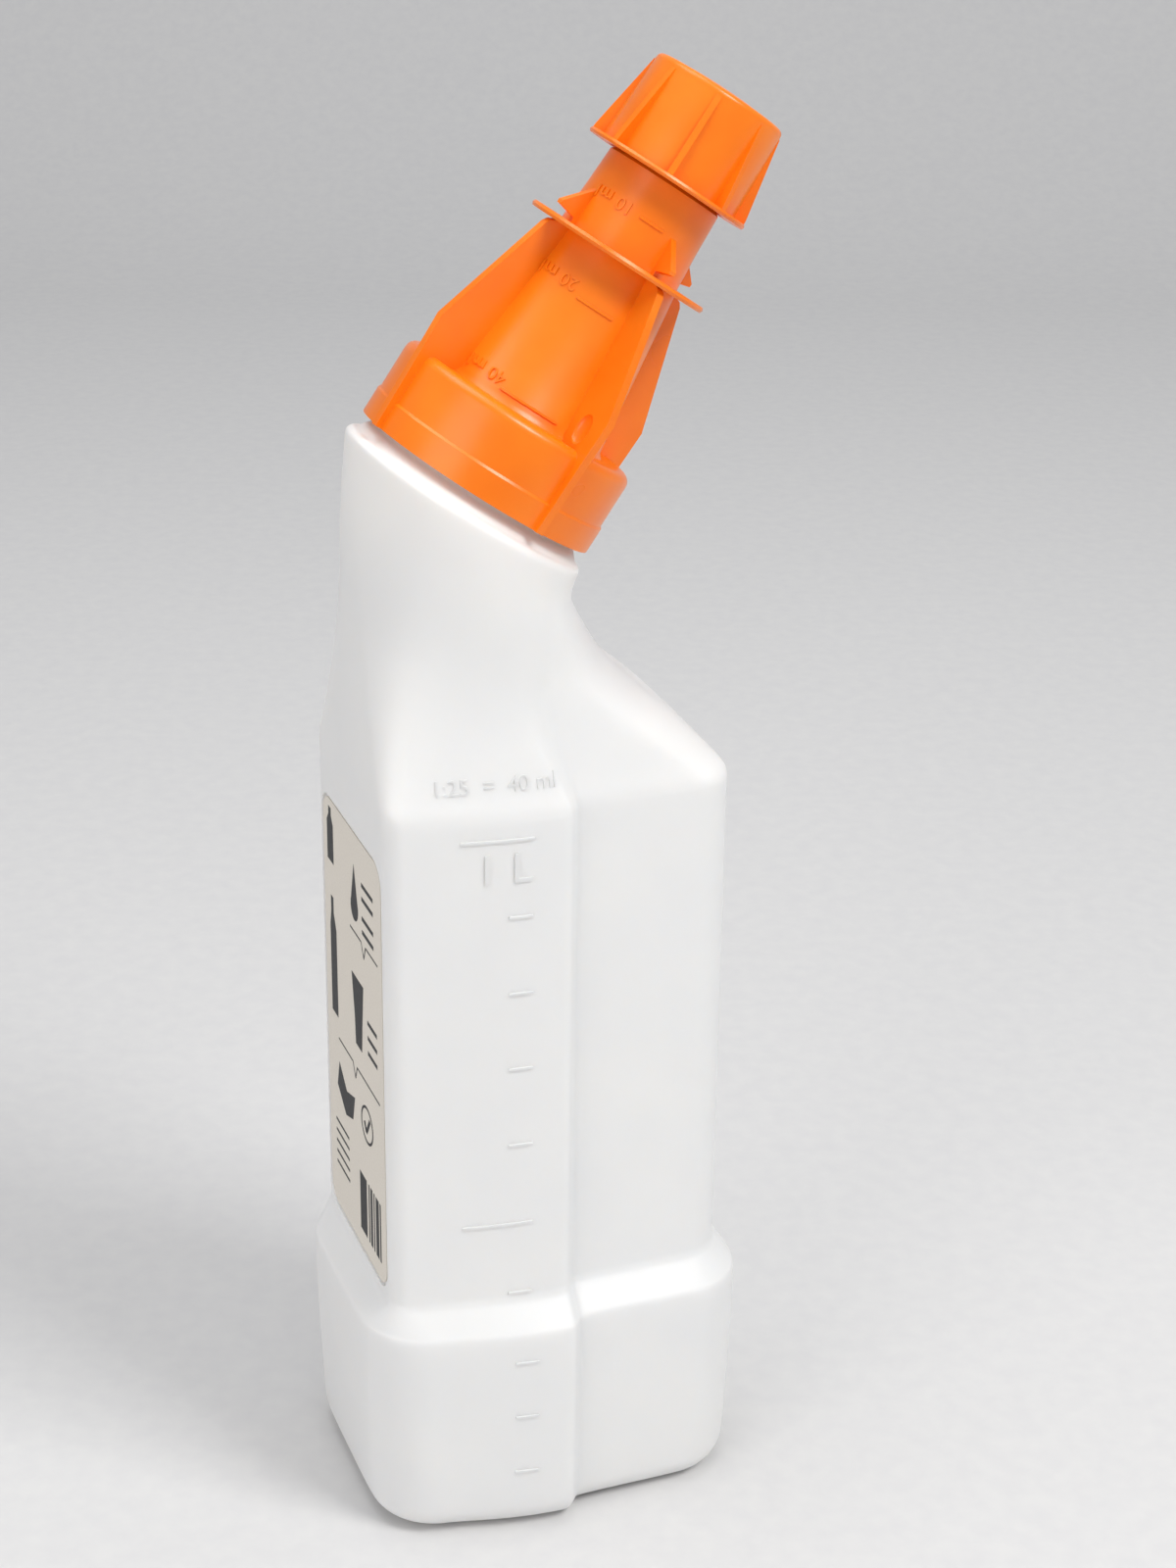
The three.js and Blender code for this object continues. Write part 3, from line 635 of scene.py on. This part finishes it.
def flat_text(bm, words, x0, y0, height, turned=False):
    """Plain numerals as a solid on the drawing plane, centred at x0, y0."""
    curve = bpy.data.curves.new("words", "FONT")
    size_per_height = 1.38
    curve.body, curve.size, curve.extrude, curve.resolution_u = words, height * size_per_height, 1.0, 4
    curve.align_x, curve.align_y = "CENTER", "CENTER"
    temporary = linked(curve, "words")
    graph = bpy.context.evaluated_depsgraph_get()
    made = bmesh.new()
    made.from_mesh(temporary.evaluated_get(graph).to_mesh())
    bpy.data.objects.remove(temporary)
    sign = -1 if turned else 1
    bmesh.ops.remove_doubles(made, verts=made.verts, dist=1e-5)
    for vert in made.verts:
        vert.co = Vector((x0 + sign * vert.co.x, y0 + sign * vert.co.y, vert.co.z))
    bm.from_mesh(mesh_of(made, "words"))


def make_bottle_marks(bottle, material):
    tree = BVHTree.FromObject(bottle, bpy.context.evaluated_depsgraph_get())
    toward = Vector((0, -1, 0))

    def place(x, z):
        return Vector((x * MM, 0, z * MM)) + Vector((0, -0.045, 0))

    bm = bmesh.new()
    for i, z in enumerate(TICK_HEIGHTS):
        if (i + 1) % 5:
            flat_bar(bm, SHORT_TICK_X, z, SHORT_TICK_WIDTH, TICK_THICKNESS, 0.35)
        else:
            flat_bar(bm, LONG_TICK_X, z, LONG_TICK_WIDTH, TICK_THICKNESS, 0.35)
    flat_text(bm, "1 L", -16.0, 176.4, 7.5)
    pressed_on(bm, tree, place, toward, 0.4)
    keep(bm, "bottle_graduations", material, "bottle", SHARP_MARK)
    bm = bmesh.new()
    flat_text(bm, "1:25  =  40 ml", -17.5, 196.0, 3.6)
    pressed_on(bm, tree, place, toward, 0.25)
    keep(bm, "bottle_ratio_note", material, "bottle", SHARP_MARK)


def make_spout_marks(spout, material):
    tree = BVHTree.FromObject(spout, bpy.context.evaluated_depsgraph_get())
    # The marks lie on the side that faces the photograph's camera
    toward = (scene.camera.location - (NECK_FOOT + NECK_AXIS * 45) * MM).normalized()
    across = (-toward).cross(NECK_AXIS).normalized()

    def place(lateral, along):
        return (NECK_FOOT + across * lateral + NECK_AXIS * along) * MM

    bm = bmesh.new()
    for _, _, _, along, left, right in SPOUT_MARKS:
        flat_bar(bm, (left + right) / 2, along, right - left, SPOUT_TICK_THICKNESS, 0.4)
    for words, lateral, along, _, _, _ in SPOUT_MARKS:
        flat_text(bm, words, lateral, along, SPOUT_WORDS_HEIGHT, turned=True)
    pressed_on(bm, tree, place, toward, 0.3)
    keep(bm, "spout_graduations", material, "spout", SHARP_MARK)


def make_label(paper, ink):
    """The paper, and its print as thin slabs: generic pictures and bars in the places of the real ones."""
    bm = bmesh.new()
    rounded_plate(bm, 0, -LABEL_THICKNESS, 0)
    label = keep(bm, "label_sheet", paper, "bottle", SHARP_MARK)
    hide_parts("label")

    bm = bmesh.new()
    sunk, proud = 0.02, 0.04

    def shape(points):
        raised(bm, [on_label(u, v, -sunk) for u, v in points], (-(sunk + proud) * MM, 0, 0))

    def rule(points, width=0.45):
        for (u0, v0), (u1, v1) in zip(points, points[1:]):
            length = hypot(u1 - u0, v1 - v0)
            du, dv = -(v1 - v0) / length * width / 2, (u1 - u0) / length * width / 2
            shape([(u0 - du, v0 - dv), (u1 - du, v1 - dv), (u1 + du, v1 + dv), (u0 + du, v0 + dv)])

    def box_shape(u, v, width, height):
        shape([(u, v), (u + width, v), (u + width, v + height), (u, v + height)])

    # Two bottles, a drop, a cup, a tipped bottle, a tick in a ring, and plain bars
    shape([(-20, 160), (-15, 160), (-15, 170), (-16.5, 172),
           (-16.5, 174), (-18.5, 174), (-18.5, 172), (-20, 170)])
    shape([(-19, 120), (-14, 120), (-14, 143), (-16, 147),
           (-16, 151), (-18, 151), (-18, 147), (-19, 143)])
    drop = [(2, 168)]
    for i in range(13):
        angle = radians(35 - 250 * i / 12)
        drop.append((2 + 3 * cos(angle), 157 + 3.4 * sin(angle)))
    shape(drop[::-1])
    for v in (165, 161.5, 156.5, 153):
        box_shape(8, v, 9, 1.1)
    rule([(-2, 150.5), (7, 150.5), (9, 147), (10.5, 150.5), (20, 150.5)])
    shape([(1, 121), (6, 121), (6.6, 128), (8, 139), (-1.5, 139), (0.5, 128)])
    for v in (131, 127, 123):
        box_shape(11, v, 7.5, 1.1)
    rule([(-14, 114.5), (-2, 114.5), (0, 111), (1.5, 114.5), (20, 114.5)])
    shape([(-16, 101), (-9, 96), (-3, 98), (-1, 105), (-8, 103), (-14, 108)])
    outer = [(9 + 4.6 * cos(2 * pi * i / 32), 103 + 4.6 * sin(2 * pi * i / 32)) for i in range(33)]
    rule(outer, 0.7)
    rule([(6.8, 103.2), (8.4, 100.8), (11.4, 105.4)], 1.2)
    for v in (90, 87, 84, 81, 78):
        box_shape(-18, v, 11, 0.7)
    for u, width in ((2, 5.5), (9, 0.8), (10.6, 1.6), (13.2, 0.8), (15, 2.4), (18.2, 0.9)):
        box_shape(u, 71, width, 16)
    bmesh.ops.recalc_face_normals(bm, faces=bm.faces)
    keep(bm, "label_print", ink, "bottle", SHARP_MARK)


make_camera()
make_stage()
light_the_stage()
milky = milky_polyethylene()
orange = orange_polypropylene()
foam = seal_foam()

bottle = make_bottle(milky)
spout = make_copy("measuring_spout", "spout_moulding", orange, "spout")
make_copy("spout_cap", "cap_moulding", orange, "cap")
make_bottle_marks(bottle, milky)
make_spout_marks(spout, orange)
make_label(coated_paper(), printing_ink())
for name in ("neck_gasket", "cap_liner"):
    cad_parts[name].data.materials.clear()
    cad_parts[name].data.materials.append(foam)

scene.view_settings.view_transform = "Standard"
